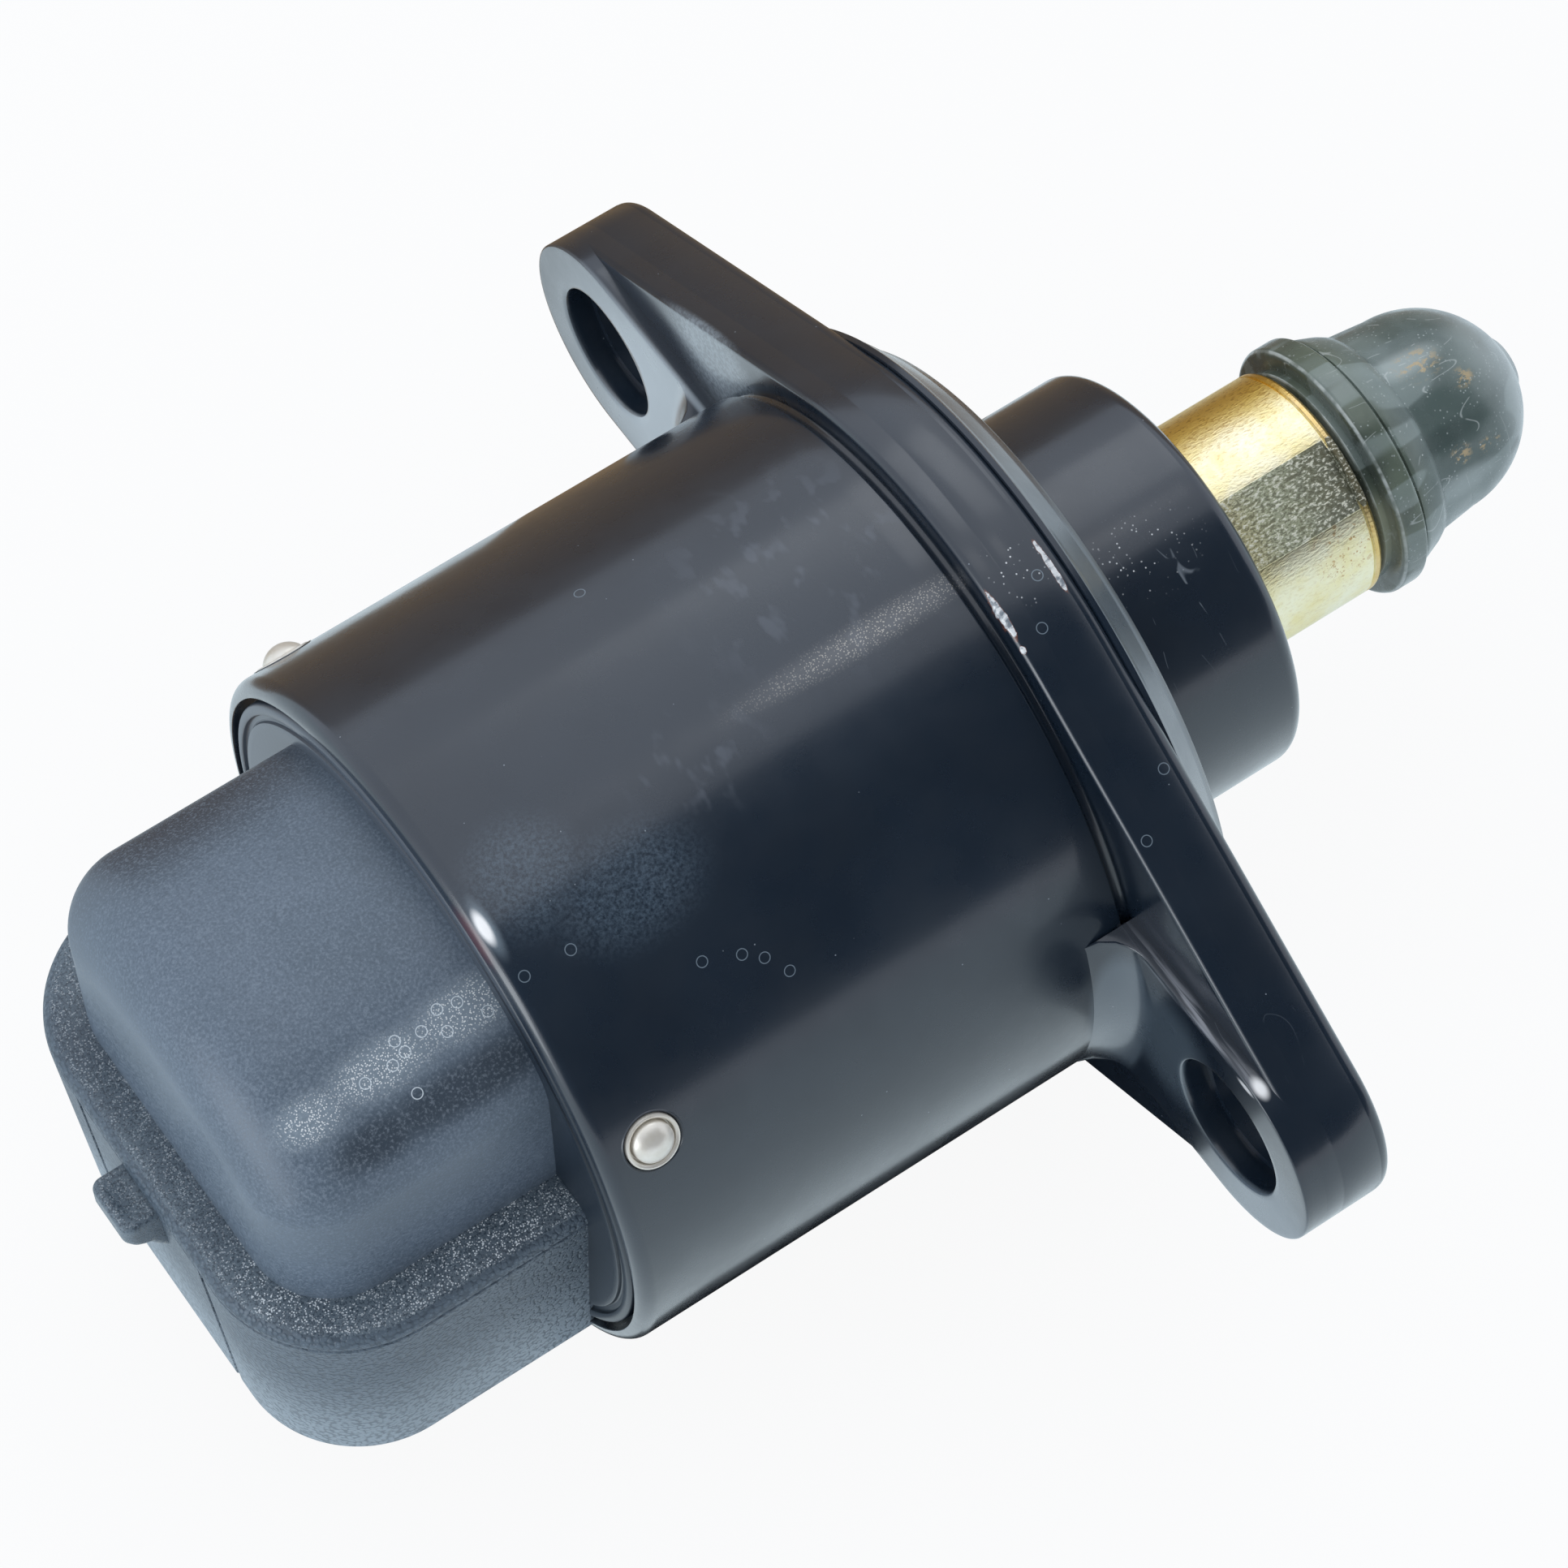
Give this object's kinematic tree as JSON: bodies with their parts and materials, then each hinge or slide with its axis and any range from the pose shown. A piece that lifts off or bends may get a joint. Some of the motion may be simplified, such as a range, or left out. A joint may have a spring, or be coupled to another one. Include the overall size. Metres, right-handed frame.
{
  "type": "idle air control valve",
  "caption": "Stepping-motor air valve: flanged can with a moulded connector cap at the back and a domed pintle on a sliding sleeve at the front.",
  "frame": {"origin": "on the valve's axis, inside the flange's seat, 0.8 mm behind the seat face", "axes": "+X along the axis towards the pintle, +Z opposite to the way the connector's socket opens, the bolt lugs along Y"},
  "size_m": [0.0744, 0.0588, 0.035],
  "materials": {
    "cast_housing": "black semi-gloss coating on an aluminium casting",
    "moulded_cap": "dark grey glass-filled moulding with a fine grain",
    "tinned_terminal": "tinned strip",
    "bright_steel": "ground steel",
    "rubber_seal": "black moulded rubber",
    "pole_steel": "pressed and plated strip",
    "white_moulding": "natural nylon",
    "enamelled_copper": "enamelled wire, wound in layers",
    "sintered_bronze": "sintered, oil-filled",
    "ferrite": "bonded ferrite",
    "yellow_passivated": "yellow passivated steel tube",
    "pintle_moulding": "polished by wear, fine scratches"
  },
  "bodies": {
    "housing": {"housing": "cast_housing", "end_cap": "moulded_cap", "terminal_1": "tinned_terminal", "terminal_2": "tinned_terminal", "terminal_3": "tinned_terminal", "terminal_4": "tinned_terminal", "retaining_pin_1": "bright_steel", "retaining_pin_2": "bright_steel", "retaining_pin_3": "bright_steel", "cap_seal": "rubber_seal", "stator_shell_rear": "pole_steel", "pole_plate_rear": "pole_steel", "bobbin_rear": "white_moulding", "winding_rear": "enamelled_copper", "stator_shell_front": "pole_steel", "pole_plate_front": "pole_steel", "bobbin_front": "white_moulding", "winding_front": "enamelled_copper", "rear_bush": "sintered_bronze", "wave_washer": "bright_steel", "bearing_outer_race": "bright_steel", "bearing_ball_1": "bright_steel", "bearing_ball_2": "bright_steel", "bearing_ball_3": "bright_steel", "bearing_ball_4": "bright_steel", "bearing_ball_5": "bright_steel", "bearing_ball_6": "bright_steel", "bearing_ball_7": "bright_steel", "bearing_ball_8": "bright_steel", "guide_bush": "sintered_bronze", "shaft_seal": "rubber_seal"},
    "rotor": {"rotor_hub": "white_moulding", "rotor_magnet": "ferrite", "bearing_inner_race": "bright_steel"},
    "plunger": {"plunger_sleeve": "yellow_passivated", "pintle": "pintle_moulding", "lead_screw": "bright_steel"}
  },
  "joints": [
    {"name": "rotor_spin", "type": "hinge", "parent": "housing", "child": "rotor", "pos_m": [-0.0166, 0, 0], "axis": [1, 0, 0], "range_deg": [-2520, 900]},
    {"name": "plunger_slide", "type": "slide", "parent": "housing", "child": "plunger", "axis": [1, 0, 0], "range_m": [-0.007, 0.0025]}
  ],
  "couplings": [
    {"joint": "plunger_slide", "follows": "rotor_spin", "m_per_rad": 0.00015915}
  ]
}
